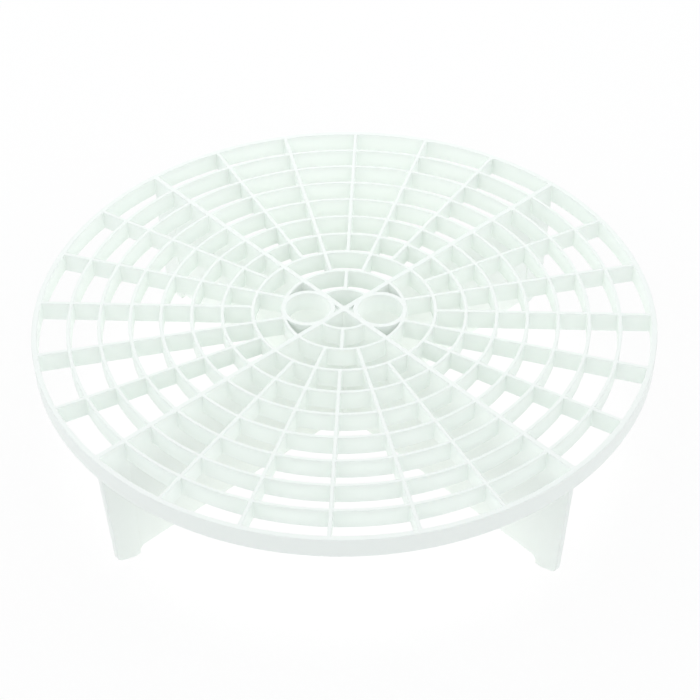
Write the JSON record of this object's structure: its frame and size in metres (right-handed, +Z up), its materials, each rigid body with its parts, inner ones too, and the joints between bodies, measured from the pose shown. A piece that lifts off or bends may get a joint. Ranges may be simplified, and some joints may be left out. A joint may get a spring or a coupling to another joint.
{
  "type": "wash bucket grit trap",
  "caption": "Round plastic grit trap that stands in a wash bucket: an open grid of rings and spokes in a rim, carried on crossed vanes and legs, with finger tubes beside the centre.",
  "frame": {"origin": "centre of the floor plane under the feet, on the axis of the rim", "axes": "+Z up along the axis of the rim, +X through the right finger tube, -Y towards the pictured front"},
  "size_m": [0.2584, 0.2584, 0.0635],
  "materials": {
    "white_plastic": "satin moulded polypropylene, white with a faint cool tint"
  },
  "bodies": {
    "root": {"rim": "white_plastic", "centre_post": "white_plastic", "ring_1": "white_plastic", "ring_2": "white_plastic", "ring_3": "white_plastic", "ring_4": "white_plastic", "ring_5": "white_plastic", "ring_6": "white_plastic", "ring_7": "white_plastic", "ring_8": "white_plastic", "inner_arc_back": "white_plastic", "inner_arc_front": "white_plastic", "inner_spoke_back": "white_plastic", "inner_spoke_front": "white_plastic", "finger_tube_right": "white_plastic", "finger_tube_left": "white_plastic", "spoke_right_1": "white_plastic", "spoke_right_2": "white_plastic", "spoke_right_3": "white_plastic", "spoke_right_4": "white_plastic", "spoke_right_5": "white_plastic", "spoke_back_1": "white_plastic", "spoke_back_2": "white_plastic", "spoke_back_3": "white_plastic", "spoke_back_4": "white_plastic", "spoke_back_5": "white_plastic", "spoke_left_1": "white_plastic", "spoke_left_2": "white_plastic", "spoke_left_3": "white_plastic", "spoke_left_4": "white_plastic", "spoke_left_5": "white_plastic", "spoke_front_1": "white_plastic", "spoke_front_2": "white_plastic", "spoke_front_3": "white_plastic", "spoke_front_4": "white_plastic", "spoke_front_5": "white_plastic", "vane_back_right": "white_plastic", "vane_back_left": "white_plastic", "vane_front_left": "white_plastic", "vane_front_right": "white_plastic", "leg_back_right": "white_plastic", "leg_back_left": "white_plastic", "leg_front_left": "white_plastic", "leg_front_right": "white_plastic"}
  },
  "joints": []
}
